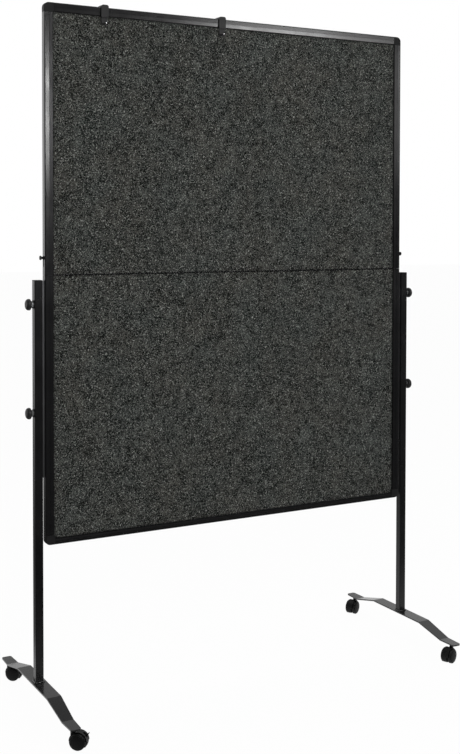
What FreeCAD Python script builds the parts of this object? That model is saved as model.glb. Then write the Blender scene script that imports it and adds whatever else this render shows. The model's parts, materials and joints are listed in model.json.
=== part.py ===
import FreeCAD, Part
import math
import os
import re
import Sketcher

# Mobile folding pinboard. Z is up, X runs along the board, the front faces -Y,
# and the origin lies on the floor midway between the two feet.

SIZES = {
    # board frame
    "board_width": 1200,
    "board_height": 1500,
    "board_depth": 22,
    "board_bottom": 462,
    "rail_width": 24,
    "rail_wall": 1.6,
    "rail_round": 3,
    "rail_lip_drop": 0.8,
    "rail_groove_place": 9.5,
    "rail_groove_width": 2.4,
    "rail_groove_depth": 1,
    "channel_depth": 11,
    "chamber_chamfer": 2.5,
    "bottom_rail_height": 16,
    "bottom_channel_depth": 8,
    "bottom_groove_place": 6,
    "corner_size": 27,
    "corner_round": 14.5,
    "tongue_length": 16,
    "tongue_gap": 0.2,
    "weld_depth": 1,
    # panels
    "core_thickness": 9,
    "felt_thickness": 2,
    "felt_gap": 0.2,
    "panel_gap": 0.3,
    "seam_gap": 0.6,
    "seam_strip_height": 1.8,
    # fold hinge
    "leaf_width": 16,
    "leaf_height": 36,
    "leaf_thickness": 2,
    "leaf_inset": 2.5,
    "leaf_clear": 1,
    "knuckle_radius": 3.2,
    "knuckle_gap": 0.3,
    "hinge_pin_radius": 1.6,
    "hinge_pin_head": 0.8,
    "hinge_pin_head_radius": 2.4,
    "running_gap": 0.05,
    # fold lock
    "lock_stud_height": 48,
    "lock_travel": 22,
    "lock_bolt_length": 60,
    "lock_bolt_depth": 11,
    "lock_bolt_park": 2,
    "lock_bolt_gap": 0.4,
    "lock_neck_radius": 2.5,
    "lock_base_radius": 5.2,
    "lock_base_gap": 0.4,
    "lock_base_length": 0.8,
    "lock_neck_length": 3.4,
    "lock_head_radius": 6,
    "lock_flare_length": 3,
    "lock_head_length": 3,
    "lock_slot_gap": 0.3,
    # guide rails and clamps
    "guide_thickness": 6.6,
    "guide_width": 10.4,
    "guide_floor": 1.2,
    "guide_lip": 1.5,
    "guide_side": 1.2,
    "guide_low": 190,
    "slide_gap": 0.2,
    "clamp_below_fold": 80,
    "clamp_spacing": 300,
    "clamp_screw_radius": 2.5,
    "clamp_hole_gap": 0.4,
    "clamp_nut_height": 16,
    "clamp_nut_gap": 0.25,
    "washer_radius": 11.5,
    "washer_thickness": 2,
    "collar_radius": 9,
    "collar_length": 5,
    "knob_radius": 15.8,
    "knob_hub_radius": 10.5,
    "knob_length": 14.5,
    "knob_flare": 3.5,
    "knob_crown": 8,
    "knob_round": 2.2,
    "knob_socket": 8,
    # posts
    "post_size": 23,
    "post_wall": 1.5,
    "post_round": 2.5,
    "post_below_fold": 15,
    "post_cap_thickness": 2,
    "post_plug_length": 18,
    "base_plug_length": 32,
    "plug_gap": 0.2,
    "foot_bolt_radius": 4,
    "foot_bolt_length": 24,
    "foot_bolt_head_radius": 7,
    "foot_bolt_head": 5,
    # feet
    "foot_thickness": 4,
    "foot_rise": 25,
    "foot_reach": 297,
    "foot_tip_length": 64,
    "foot_slope_length": 106,
    "foot_width": 40,
    "foot_tip_width": 28,
    "foot_tip_round": 7,
    "foot_bend_round": 8,
    # casters
    "caster_height": 54,
    "caster_inset": 28,
    "caster_trail": 17,
    "stem_radius": 4,
    "stem_length": 22,
    "socket_radius": 5.5,
    "socket_length": 8,
    "boss_radius": 6.2,
    "boss_floor": 12,
    "boss_gap": 0.3,
    "web_thickness": 12,
    "web_floor": 6,
    "neck_top": 38,
    "hood_radius": 24.4,
    "hood_wall": 1.7,
    "hood_width": 22,
    "wheel_radius": 22,
    "wheel_width": 10,
    "wheel_gap": 0.5,
    "wheel_bevel": 1.5,
    "wheel_face_radius": 17,
    "wheel_face_depth": 0.8,
    "wheel_hub_radius": 5,
    "axle_radius": 2.5,
    "axle_head_radius": 4,
    "axle_head": 1,
    "front_left_swivel": 320,
    "back_left_swivel": 318,
    "front_right_swivel": 202,
    "back_right_swivel": 208,
    # brake lever
    "brake_forward": 15.5,
    "brake_lift": 13,
    "brake_hub_radius": 2.6,
    "brake_pin_radius": 1.2,
    "brake_width": 8,
    "brake_notch_gap": 0.6,
    "brake_reach": 12,
    "brake_rise": 6,
    "brake_thickness": 2.4,
    "brake_bend_reach": 6,
    "brake_bend_rise": 2,
    # paper hooks
    "left_hook_place": -424,
    "right_hook_place": -53,
    "hook_width": 22,
    "hook_gap": 0.3,
    "hook_front": 4,
    "hook_back": 3,
    "hook_crown": 6.7,
    "hook_back_drop": 20,
    "hook_round": 6,
    "tongue_width": 17,
    "tongue_thickness": 3,
    "tongue_drop": 50,
    "tongue_felt_gap": 0.4,
    "peg_radius": 2.5,
    "peg_length": 14,
    "peg_drop": 46,
    "peg_round": 1.2,
}

doc = FreeCAD.newDocument("pinboard")
sheet = doc.addObject("Spreadsheet::Sheet", "Sizes")
for row, (alias, value) in enumerate(SIZES.items(), start=1):
    sheet.set("A%d" % row, alias)
    sheet.set("B%d" % row, str(value))
    sheet.setAlias("B%d" % row, alias)
doc.recompute()

PARTS = []
FORMULA_WORDS = {"sin", "cos", "tan", "atan"}
TOUCH = 0.01
SQUARE_TURN = 90
FULL_TURN = 360
SKETCH_REACH = 10
HEX_SIDES = 6

HALF = "(board_width / 2)"
TOP = "(board_bottom + board_height)"
SEAM = "(board_bottom + board_height / 2)"
PANEL = "(core_thickness + 2 * felt_thickness)"
CHANNEL = "(core_thickness + 2 * felt_thickness + 2 * felt_gap)"
FACE = "(board_depth / 2)"
CHANNEL_FLOOR = "(board_width / 2 - rail_width + channel_depth)"
PANEL_HALF = "(board_width / 2 - rail_width + channel_depth - panel_gap)"
POST_NEAR = "(board_width / 2 + guide_thickness + slide_gap)"
POST_FAR = "(board_width / 2 + guide_thickness + slide_gap + post_size)"
POST_X = "(board_width / 2 + guide_thickness + slide_gap + post_size / 2)"
PLATE_TOP = "(caster_height + foot_rise + foot_thickness)"
PLATE_UNDER = "(caster_height + foot_rise)"
POST_TOP = "(board_bottom + board_height / 2 - post_below_fold)"
FOOT_LOW_BEND = "(foot_reach - foot_tip_length)"
FOOT_HIGH_BEND = "(foot_reach - foot_tip_length - foot_slope_length)"
CASTER_REACH = "(foot_reach - caster_inset)"
LOWER_TOP = "(board_bottom + board_height / 2 - seam_gap / 2)"
UPPER_BOTTOM = "(board_bottom + board_height / 2 + seam_gap / 2)"
SIDES = (("left", -1), ("right", 1))


def refer(formula):
    """A formula over size names, written as references to the sheet's cells."""
    def cell(match):
        word = match.group(0)
        return word if word in FORMULA_WORDS else "Sizes." + word
    return re.sub(r"[a-z][a-z_]+", cell, formula)


def tie(item, name, formula):
    item.setExpression(name, refer(formula))


def place(item, at, axis=(0, 0, 1), angle=0):
    """Put an item at a point given by formulas, turned about an axis by a fixed angle."""
    item.Placement = FreeCAD.Placement(FreeCAD.Vector(), FreeCAD.Rotation(FreeCAD.Vector(axis), angle))
    for letter, formula in zip("xyz", at):
        tie(item, "Placement.Base." + letter, formula)


def keep(item, label):
    """Mark an item as one sub-part of the pinboard."""
    item.Label = label
    PARTS.append(item)


def origin_plane(body, role):
    return next(plane for plane in body.Origin.OriginFeatures if plane.Role == role)


def outline_sketch(body, role, outlines):
    """Closed outlines on an origin plane, every corner tied to a pair of formulas."""
    sketch = body.newObject("Sketcher::SketchObject", body.Name + "Sketch")
    sketch.AttachmentSupport = [(origin_plane(body, role), "")]
    sketch.MapMode = "FlatFace"
    for outline in outlines:
        first = sketch.GeometryCount
        count = len(outline)
        turns = [math.tau * index / count for index in range(count)]
        start = [FreeCAD.Vector(math.cos(turn), math.sin(turn)) * SKETCH_REACH for turn in turns]
        for index in range(count):
            sketch.addGeometry(Part.LineSegment(start[index], start[(index + 1) % count]))
        for index in range(count):
            after = first + (index + 1) % count
            sketch.addConstraint(Sketcher.Constraint("Coincident", first + index, 2, after, 1))
        for index, (across, along) in enumerate(outline):
            for kind, formula, begin in (
                ("DistanceX", across, start[index].x),
                ("DistanceY", along, start[index].y),
            ):
                number = sketch.addConstraint(Sketcher.Constraint(kind, -1, 1, first + index, 1, begin))
                tie(sketch, "Constraints[%d]" % number, formula)
    return sketch


def prism(name, role, outlines, length, at=("0", "0", "0")):
    """Closed outlines on an origin plane, padded along the plane's normal."""
    body = doc.addObject("PartDesign::Body", name)
    sketch = outline_sketch(body, role, outlines)
    pad = body.newObject("PartDesign::Pad", name + "Pad")
    pad.Profile = sketch
    tie(pad, "Length", length)
    place(body, at)
    return body


def turned(name, outline):
    """A half section turned about the body's Y axis: each corner is (radius, along Y)."""
    body = doc.addObject("PartDesign::Body", name)
    sketch = outline_sketch(body, "XY_Plane", [outline])
    revolution = body.newObject("PartDesign::Revolution", name + "Turn")
    revolution.Profile = sketch
    revolution.ReferenceAxis = (sketch, ["V_Axis"])
    revolution.Angle = FULL_TURN
    return body


def round_edges(body, radius, wanted):
    """Round the edges that a test of an edge and the body's bounds picks out."""
    doc.recompute()
    base = body.Tip
    bounds = base.Shape.BoundBox
    names = ["Edge%d" % n for n, edge in enumerate(base.Shape.Edges, start=1) if wanted(edge, bounds)]
    fillet = body.newObject("PartDesign::Fillet", body.Name + "Round")
    fillet.Base = (base, names)
    tie(fillet, "Radius", radius)


def runs_along(edge, letter):
    """True for a straight edge along the named axis."""
    if edge.Curve.TypeId != "Part::GeomLine":
        return False
    return abs(getattr(edge.tangentAt(edge.FirstParameter), letter)) > 1 - TOUCH


def lies_at(edge, letter, value):
    """True for an edge whose middle is at a value of the named coordinate."""
    return abs(getattr(edge.CenterOfMass, letter) - value) < TOUCH


def end_of(bounds, letter, sign):
    """The upper (1) or lower (-1) end of some bounds along the named axis."""
    return getattr(bounds, letter.upper() + ("Max" if sign > 0 else "Min"))


def box(name, size, at):
    item = doc.addObject("Part::Box", name)
    for side, formula in zip(("Length", "Width", "Height"), size):
        tie(item, side, formula)
    place(item, at)
    return item


AXIS_TURNS = {"x": ((0, 1, 0), SQUARE_TURN), "y": ((1, 0, 0), -SQUARE_TURN), "z": ((0, 0, 1), 0)}


def cylinder(name, radius, length, at, along="z"):
    """A cylinder that starts at a point and runs along a positive axis."""
    item = doc.addObject("Part::Cylinder", name)
    tie(item, "Radius", radius)
    tie(item, "Height", length)
    place(item, at, *AXIS_TURNS[along])
    return item


def hexagon(name, radius, height, at):
    """An upright six-sided bar that starts at a point."""
    item = doc.addObject("Part::Prism", name)
    item.Polygon = HEX_SIDES
    tie(item, "Circumradius", radius)
    tie(item, "Height", height)
    place(item, at)
    return item


def stretch(side, near, far):
    """The start and the length along X between two distances from the middle."""
    return (near if side > 0 else "-(%s)" % far), "(%s) - (%s)" % (far, near)


def side_box(name, side, near, far, depth, low, height):
    """A box on one side of the middle, centred front to back."""
    start, length = stretch(side, near, far)
    return box(name, (length, depth, height), (start, "-(%s) / 2" % depth, low))


def side_rod(name, side, radius, near, far, level, across="0"):
    """A cylinder along X on one side of the middle."""
    start, length = stretch(side, near, far)
    return cylinder(name, radius, length, (start, across, level), "x")


def cross_rod(name, radius, length, along, level):
    """A cylinder along Y, centred on the middle plane."""
    return cylinder(name, radius, length, (along, "-(%s) / 2" % length, level), "y")


def fuse(name, items):
    item = doc.addObject("Part::MultiFuse", name)
    item.Shapes = items
    item.Refine = True
    return item


def cut(name, base, tools):
    item = doc.addObject("Part::Cut", name)
    item.Base = base
    item.Tool = tools[0] if len(tools) == 1 else fuse(name + "_tools", tools)
    item.Refine = True
    return item


def group(name, items):
    item = doc.addObject("Part::Compound", name)
    item.Links = items
    return item


def mirrored(points):
    """An outline's points on the other side of its second axis, in reverse order."""
    return [("-(%s)" % across, along) for across, along in reversed(points)]


def square_section(size):
    half = [("(%s) / 2" % size, "-(%s) / 2" % size), ("(%s) / 2" % size, "(%s) / 2" % size)]
    return half + mirrored(half)


def rail_outlines(width, channel, groove, turn):
    """The section of a frame rail: panel channel inside, closed chamber outside, sloping lips and grooves.

    turn makes a sketch point from a distance out of the rail's inner edge and a
    distance from the middle plane.
    """
    groove_end = "%s + rail_groove_width" % groove
    groove_floor = "board_depth / 2 - rail_groove_depth"
    mouth = CHANNEL + " / 2"
    back = [
        (channel, mouth),
        ("0", mouth),
        ("0", FACE + " - rail_lip_drop"),
        (groove, FACE),
        (groove, groove_floor),
        (groove_end, groove_floor),
        (groove_end, FACE),
        (width, FACE),
    ]
    deep = "board_depth / 2 - rail_groove_depth - rail_wall"
    bevel = "%s - rail_wall - chamber_chamfer" % width
    hollow = [
        ("%s + rail_wall" % channel, deep),
        (bevel, deep),
        ("%s - rail_wall" % width, deep + " - chamber_chamfer"),
    ]
    outlines = []
    for half in (back, hollow):
        front = [(out, "-(%s)" % depth) for out, depth in reversed(half)]
        outlines.append([turn(out, depth) for out, depth in half + front])
    return outlines


def rounded_rail(name, role, outlines, length, at, length_axis, out_axis, outward):
    """A rail with its two long edges rounded on the side away from the panel."""
    body = prism(name, role, outlines, length, at)

    def outer(edge, bounds):
        rim = lies_at(edge, "y", bounds.YMin) or lies_at(edge, "y", bounds.YMax)
        outside = lies_at(edge, out_axis, end_of(bounds, out_axis, outward))
        return runs_along(edge, length_axis) and outside and rim
    round_edges(body, "rail_round", outer)
    return body


def side_rail(name, side, low, high):
    def turn(out, depth):
        return "(%d) * (%s - rail_width + %s)" % (side, HALF, out), depth
    outlines = rail_outlines("rail_width", "channel_depth", "rail_groove_place", turn)
    length = "%s - %s" % (high, low)
    return rounded_rail(name, "XY_Plane", outlines, length, ("0", "0", low), "z", "x", side)


def cross_rail(name, width, channel, groove, edge, direction):
    """A rail along X whose outer edge lies at a height, facing up (1) or down (-1)."""
    def turn(out, depth):
        return depth, "%s + (%d) * (%s - %s)" % (edge, direction, out, width)
    outlines = rail_outlines(width, channel, groove, turn)
    length = "2 * (%s - corner_size)" % HALF
    at = ("-(%s) / 2" % length, "0", "0")
    return rounded_rail(name, "YZ_Plane", outlines, length, at, "x", "z", direction)


def panel(name, low, high):
    """The pinning surface of one half: a soft core between two felts."""
    for layer, thickness, face in (
        ("core", "core_thickness", "-core_thickness / 2"),
        ("front_felt", "felt_thickness", "-core_thickness / 2 - felt_thickness"),
        ("back_felt", "felt_thickness", "core_thickness / 2"),
    ):
        label = "%s_%s" % (name, layer)
        size = ("2 * " + PANEL_HALF, thickness, "%s - %s" % (high, low))
        keep(box(label, size, ("-" + PANEL_HALF, face, low)), label)


def seam_strip(label, low):
    """The band that closes a panel's edge along the fold."""
    size = ("2 * " + PANEL_HALF, PANEL, "seam_strip_height")
    keep(box(label, size, ("-" + PANEL_HALF, "-%s / 2" % PANEL, low)), label)


def corner(name, side, direction, edge, width, channel):
    """A moulded corner: rounded rim, pocket for the panel, tongues in both rails' chambers.

    side is -1 left or 1 right, direction 1 at the top or -1 at the bottom.
    """
    def level(out):
        return "%s + (%d) * (%s)" % (edge, direction, out)

    def upright(near, far):
        """The lower end and the height between two distances out from the corner's edge."""
        return level(near if direction > 0 else far), "(%s) - (%s)" % (far, near)
    inner = "(%d) * (%s - corner_size)" % (side, HALF)
    outer = "(%d) * %s" % (side, HALF)
    square = [(inner, level("-corner_size")), (outer, level("-corner_size")), (outer, edge), (inner, edge)]
    block = prism(name + "_block", "XZ_Plane", [square], "board_depth", ("0", FACE, "0"))

    def outer_corner(item, bounds):
        at_end = lies_at(item, "z", end_of(bounds, "z", direction))
        return runs_along(item, "y") and at_end and lies_at(item, "x", end_of(bounds, "x", side))
    round_edges(block, "corner_round", outer_corner)

    def rim(item, bounds):
        curved = item.Curve.TypeId == "Part::GeomCircle"
        at_side = runs_along(item, "z") and lies_at(item, "x", end_of(bounds, "x", side))
        at_end = runs_along(item, "x") and lies_at(item, "z", end_of(bounds, "z", direction))
        return curved or at_side or at_end
    round_edges(block, "rail_round", rim)
    deep = "2 * (board_depth / 2 - rail_groove_depth - rail_wall - tongue_gap)"
    outside = "rail_wall + chamber_chamfer + tongue_gap"
    reach = "corner_size + tongue_length"
    low, height = upright("-(%s)" % reach, "weld_depth - corner_size")
    upright_tongue = side_box(name + "_upright_tongue", side, CHANNEL_FLOOR + " + rail_wall + tongue_gap",
                              "%s - (%s)" % (HALF, outside), deep, low, height)
    low, height = upright("%s + rail_wall + tongue_gap - %s" % (channel, width), "-(%s)" % outside)
    cross_tongue = side_box(name + "_cross_tongue", side, "%s - (%s)" % (HALF, reach),
                            HALF + " - corner_size + weld_depth", deep, low, height)
    solid = fuse(name + "_solid", [block, upright_tongue, cross_tongue])
    low, height = upright("-corner_size", "%s - %s" % (channel, width))
    pocket = side_box(name + "_pocket", side, HALF + " - corner_size", CHANNEL_FLOOR, CHANNEL, low, height)
    return cut(name, solid, [pocket])


HINGE_NEAR = "(board_width / 2 - rail_width + leaf_inset)"
HINGE_FAR = "(board_width / 2 - rail_width + leaf_inset + leaf_width)"
HINGE_Y = "(board_depth / 2 + knuckle_gap + knuckle_radius)"


def hinge_leaf(name, side, direction, segments):
    """One leaf of a fold hinge, above (1) or below (-1) the fold, with its share of three knuckles."""
    clear = "(knuckle_radius + leaf_clear)"
    height = "(leaf_height - %s)" % clear
    start, width = stretch(side, HINGE_NEAR, HINGE_FAR)
    low = "%s + %s" % (SEAM, clear) if direction > 0 else "%s - leaf_height" % SEAM
    pieces = [box(name + "_plate", (width, "leaf_thickness", height), (start, FACE, low))]
    segment = "((leaf_width - 2 * knuckle_gap) / 3)"
    web_low = SEAM if direction > 0 else "%s - %s" % (SEAM, clear)
    web_size = (segment, "leaf_thickness - knuckle_gap", clear)
    for place_number in segments:
        at = "%s + %d * (%s + knuckle_gap)" % (start, place_number, segment)
        tag = "%s_%d" % (name, place_number)
        pieces.append(cylinder(tag + "_knuckle", "knuckle_radius", segment, (at, HINGE_Y, SEAM), "x"))
        pieces.append(box(tag + "_web", web_size, (at, FACE + " + knuckle_gap", web_low)))
    radius = "hinge_pin_radius + running_gap"
    bore = side_rod(name + "_bore", side, radius, HINGE_NEAR, HINGE_FAR, SEAM, HINGE_Y)
    return cut(name, fuse(name + "_solid", pieces), [bore])


def hinge_pin(name, side):
    """A rod through the three knuckles with a flat head on each end."""
    near = HINGE_NEAR + " - running_gap"
    far = HINGE_FAR + " + running_gap"
    pieces = [side_rod(name + "_rod", side, "hinge_pin_radius", near, far, SEAM, HINGE_Y)]
    heads = (("near", near + " - hinge_pin_head", near), ("far", far, far + " + hinge_pin_head"))
    for tag, start, end in heads:
        label = "%s_%s_head" % (name, tag)
        pieces.append(side_rod(label, side, "hinge_pin_head_radius", start, end, SEAM, HINGE_Y))
    return fuse(name, pieces)


STUD_LEVEL = "(board_bottom + board_height / 2 + lock_stud_height)"


def lock_slot(name, side):
    """The slot in a side rail's outer wall that the lock's stud slides in."""
    half = "(lock_neck_radius + lock_slot_gap)"
    near = HALF + " - rail_wall - weld_depth"
    low = STUD_LEVEL + " - lock_travel"
    pieces = [side_box(name + "_run", side, near, HALF, "2 * " + half, low, "lock_travel")]
    for tag, level in (("low", low), ("high", STUD_LEVEL)):
        pieces.append(side_rod("%s_%s" % (name, tag), side, half, near, HALF, level))
    return fuse(name, pieces)


def lock_bolt(name, side):
    """A bolt that slides inside the side rail, with a headed stud standing out of the slot."""
    far = HALF + " - rail_wall - lock_bolt_gap"
    near = CHANNEL_FLOOR + " + rail_wall + lock_bolt_gap"
    low = UPPER_BOTTOM + " + lock_bolt_park"
    bar = side_box(name + "_bar", side, near, far, "lock_bolt_depth", low, "lock_bolt_length")
    base_start = "(rail_wall + lock_bolt_gap + lock_base_gap)"
    base_end = "(%s + lock_base_length)" % base_start
    neck_end = "(%s + lock_neck_length)" % base_end
    flare_end = "(%s + lock_flare_length)" % neck_end
    head_end = "(%s + lock_head_length)" % flare_end
    stud = turned(name + "_stud", [
        ("0", "-weld_depth"),
        ("lock_neck_radius", "-weld_depth"),
        ("lock_neck_radius", base_start),
        ("lock_base_radius", base_start),
        ("lock_base_radius", base_end),
        ("lock_neck_radius", neck_end),
        ("lock_head_radius", flare_end),
        ("lock_head_radius", head_end),
        ("0", head_end),
    ])
    place(stud, ("(%d) * (%s)" % (side, far), "0", STUD_LEVEL), angle=-side * SQUARE_TURN)
    return fuse(name, [bar, stud])


def guide_rail(name, side):
    """The C-shaped guide on a side rail; its mouth faces the post."""
    lip = "guide_thickness - guide_lip"
    inside = "guide_width / 2 - guide_side"
    mouth = "clamp_screw_radius + clamp_hole_gap"
    half = [
        ("0", "guide_width / 2"),
        ("guide_thickness", "guide_width / 2"),
        ("guide_thickness", mouth),
        (lip, mouth),
        (lip, inside),
        ("guide_floor", inside),
    ]
    section = half + [(out, "-(%s)" % depth) for out, depth in reversed(half)]
    outline = [("(%d) * (%s + %s)" % (side, HALF, out), depth) for out, depth in section]
    at = ("0", "0", "board_bottom + guide_low")
    return prism(name, "XY_Plane", [outline], "%s - board_bottom - guide_low" % POST_TOP, at)


CLAMP_LEVELS = {
    "upper": "(board_bottom + board_height / 2 - clamp_below_fold)",
    "lower": "(board_bottom + board_height / 2 - clamp_below_fold - clamp_spacing)",
}
CLAMPS = [(side_name, side, level_name) for side_name, side in SIDES for level_name in CLAMP_LEVELS]
CLAMP_HOLE = "clamp_screw_radius + clamp_hole_gap"
NUT_NEAR = "(board_width / 2 + guide_floor + clamp_nut_gap)"
NUT_FAR = "(board_width / 2 + guide_thickness - guide_lip - clamp_nut_gap)"
COLLAR_NEAR = "(%s + washer_thickness)" % POST_FAR
KNOB_NEAR = "(%s + washer_thickness + collar_length)" % POST_FAR


def clamp_nut(name, side, level):
    """The flat nut that runs in the guide."""
    width = "guide_width - 2 * guide_side - 2 * clamp_nut_gap"
    plate = side_box(name + "_plate", side, NUT_NEAR, NUT_FAR, width, level + " - clamp_nut_height / 2",
                     "clamp_nut_height")
    hole = side_rod(name + "_hole", side, "clamp_screw_radius + running_gap", NUT_NEAR, NUT_FAR, level)
    return cut(name, plate, [hole])


def clamp_washer(name, side, level):
    disc = side_rod(name + "_disc", side, "washer_radius", POST_FAR, COLLAR_NEAR, level)
    hole = side_rod(name + "_hole", side, CLAMP_HOLE, POST_FAR, COLLAR_NEAR, level)
    return cut(name, disc, [hole])


def clamp_screw(name, side, level):
    """A screw from the guide's nut through the post, with a six-sided collar on the washer."""
    length = "%s + knob_socket - running_gap - %s" % (KNOB_NEAR, NUT_NEAR)
    shank = cylinder(name + "_shank", "clamp_screw_radius", length, ("0", "0", NUT_NEAR))
    collar = hexagon(name + "_collar", "collar_radius", "collar_length", ("0", "0", COLLAR_NEAR))
    screw = fuse(name, [shank, collar])
    place(screw, ("0", "0", level), (0, 1, 0), side * SQUARE_TURN)
    return screw


def clamp_knob(name, side, level):
    """A mushroom grip with a socket for the screw's end."""
    bore = "clamp_screw_radius + running_gap"
    knob = turned(name, [
        (bore, "0"),
        ("knob_hub_radius", "0"),
        ("knob_radius", "knob_flare"),
        ("knob_radius", "knob_length"),
        ("0", "knob_length"),
        ("0", "knob_socket"),
        (bore, "knob_socket"),
    ])

    def rim(edge, along):
        """True for the widest circle at a named distance from the collar."""
        if edge.Curve.TypeId != "Part::GeomCircle":
            return False
        return abs(edge.Curve.Radius - SIZES["knob_radius"]) < TOUCH and lies_at(edge, "y", SIZES[along])
    round_edges(knob, "knob_crown", lambda edge, bounds: rim(edge, "knob_length"))
    round_edges(knob, "knob_round", lambda edge, bounds: rim(edge, "knob_flare"))
    place(knob, ("(%d) * %s" % (side, KNOB_NEAR), "0", level), angle=-side * SQUARE_TURN)
    return knob


def post_foot_place(side, level):
    return "(%d) * %s" % (side, POST_X), "0", level


def round_upright_edges(body, radius):
    """Round the four outermost upright edges of a square body."""
    def outermost(edge, bounds):
        rim = lies_at(edge, "x", bounds.XMin) or lies_at(edge, "x", bounds.XMax)
        return runs_along(edge, "z") and rim
    round_edges(body, radius, outermost)


def post(name, side):
    sections = [square_section("post_size"), square_section("post_size - 2 * post_wall")]
    tube = prism(name + "_tube", "XY_Plane", sections, "%s - %s" % (POST_TOP, PLATE_TOP),
                 post_foot_place(side, PLATE_TOP))
    round_upright_edges(tube, "post_round")
    holes = []
    for level_name, level in CLAMP_LEVELS.items():
        label = "%s_%s_hole" % (name, level_name)
        holes.append(side_rod(label, side, CLAMP_HOLE, POST_NEAR, POST_FAR, level))
    return cut(name, tube, holes)


PLUG_SECTION = square_section("(post_size - 2 * post_wall - 2 * plug_gap)")


def post_cap(name, side):
    """A push-in cap: a lid on the tube's end and a plug inside it."""
    lid = prism(name + "_lid", "XY_Plane", [square_section("post_size")], "post_cap_thickness",
                post_foot_place(side, POST_TOP))
    round_upright_edges(lid, "post_round")
    plug = prism(name + "_plug", "XY_Plane", [PLUG_SECTION], "post_plug_length + weld_depth",
                 post_foot_place(side, POST_TOP + " - post_plug_length"))
    return fuse(name, [lid, plug])


def base_plug(name, side):
    """The threaded block in the tube's foot that the foot bolt pulls on."""
    at = post_foot_place(side, PLATE_TOP)
    block = prism(name + "_block", "XY_Plane", [PLUG_SECTION], "base_plug_length", at)
    bore = cylinder(name + "_bore", "foot_bolt_radius + running_gap", "base_plug_length", at)
    return cut(name, block, [bore])


def foot_bolt(name, side):
    head = hexagon(name + "_head", "foot_bolt_head_radius", "foot_bolt_head",
                   post_foot_place(side, PLATE_UNDER + " - foot_bolt_head"))
    shank = cylinder(name + "_shank", "foot_bolt_radius", "foot_bolt_length + weld_depth",
                     post_foot_place(side, PLATE_UNDER + " - weld_depth"))
    return fuse(name, [head, shank])


def foot(name, side):
    """A flat bar with four bends, drawn in towards its rounded tips."""
    low = "caster_height"
    low_over = "(caster_height + foot_thickness)"
    shift = "foot_thickness * tan(atan(foot_rise / foot_slope_length) / 2)"
    half = [
        (FOOT_HIGH_BEND + " - " + shift, PLATE_UNDER),
        (FOOT_LOW_BEND + " - " + shift, low),
        ("foot_reach", low),
        ("foot_reach", low_over),
        (FOOT_LOW_BEND, low_over),
        (FOOT_HIGH_BEND, PLATE_TOP),
    ]
    bar = prism(name + "_bar", "YZ_Plane", [half + mirrored(half)], "foot_width",
                ("(%d) * %s - foot_width / 2" % (side, POST_X), "0", "0"))

    def bend(edge, inner):
        """True for a bend's line on its inner or its outer side."""
        half_way = SIZES["foot_reach"] - SIZES["foot_tip_length"] - SIZES["foot_slope_length"] / 2
        upper = abs(edge.CenterOfMass.y) < half_way
        level = SIZES["caster_height"] + (SIZES["foot_rise"] if upper else SIZES["foot_thickness"])
        tip = lies_at(edge, "y", SIZES["foot_reach"]) or lies_at(edge, "y", -SIZES["foot_reach"])
        return runs_along(edge, "x") and not tip and lies_at(edge, "z", level) == inner
    round_edges(bar, "foot_bend_round", lambda edge, bounds: bend(edge, True))
    round_edges(bar, "foot_bend_round + foot_thickness", lambda edge, bounds: bend(edge, False))
    right = [
        ("foot_tip_width / 2", "-foot_reach"),
        ("foot_width / 2", "-" + FOOT_HIGH_BEND),
        ("foot_width / 2", FOOT_HIGH_BEND),
        ("foot_tip_width / 2", "foot_reach"),
    ]
    outline = right + mirrored(right)
    plan = prism(name + "_plan", "XY_Plane", [outline], PLATE_TOP, post_foot_place(side, "0"))

    def tip_corner(edge, bounds):
        rim = lies_at(edge, "y", bounds.YMin) or lies_at(edge, "y", bounds.YMax)
        return runs_along(edge, "z") and rim
    round_edges(plan, "foot_tip_round", tip_corner)
    blank = doc.addObject("Part::Common", name + "_blank")
    blank.Base = bar
    blank.Tool = plan
    hole = cylinder(name + "_hole", "foot_bolt_radius + running_gap", "foot_thickness",
                    post_foot_place(side, PLATE_UNDER))
    return cut(name, blank, [hole])


CASTERS = (("front_left", -1, -1), ("back_left", -1, 1), ("front_right", 1, -1), ("back_right", 1, 1))
BRAKED = "front_left"
STEM_TOP = "(caster_height - socket_length)"


def caster_place(item, caster, forward="0", level="0"):
    """Put an item that is built about a caster's stem, or ahead of it, at its corner."""
    corner_name, side, end = caster
    swivel = corner_name + "_swivel"
    x = "(%d) * %s + (%s) * cos(%s)" % (side, POST_X, forward, swivel)
    y = "(%d) * %s + (%s) * sin(%s)" % (end, CASTER_REACH, forward, swivel)
    place(item, (x, y, level), angle=SIZES[swivel])
    tie(item, "Placement.Rotation.Angle", swivel)


def caster_stem(name, caster):
    """The pin that a caster turns on, below the socket that is welded under the foot."""
    x = "(%d) * %s" % (caster[1], POST_X)
    y = "(%d) * %s" % (caster[2], CASTER_REACH)
    socket = cylinder(name + "_socket", "socket_radius", "socket_length", (x, y, STEM_TOP))
    low = STEM_TOP + " - stem_length"
    pin = cylinder(name + "_pin", "stem_radius", "stem_length + weld_depth", (x, y, low))
    return fuse(name, [socket, pin])


def brake_tools(name):
    """The notch and the pivot holes of a braked housing."""
    ahead = "(caster_trail + brake_forward)"
    level = "(wheel_radius + brake_lift)"
    room = "(brake_hub_radius + brake_notch_gap)"
    width = "(brake_width + brake_notch_gap)"
    notch = box(name + "_notch", ("hood_radius", width, "hood_radius"),
                ("%s - %s" % (ahead, room), "-%s / 2" % width, "%s - %s" % (level, room)))
    pivot = cross_rod(name + "_pivot", "brake_pin_radius + running_gap", "web_thickness", ahead, level)
    return [notch, pivot]


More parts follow.
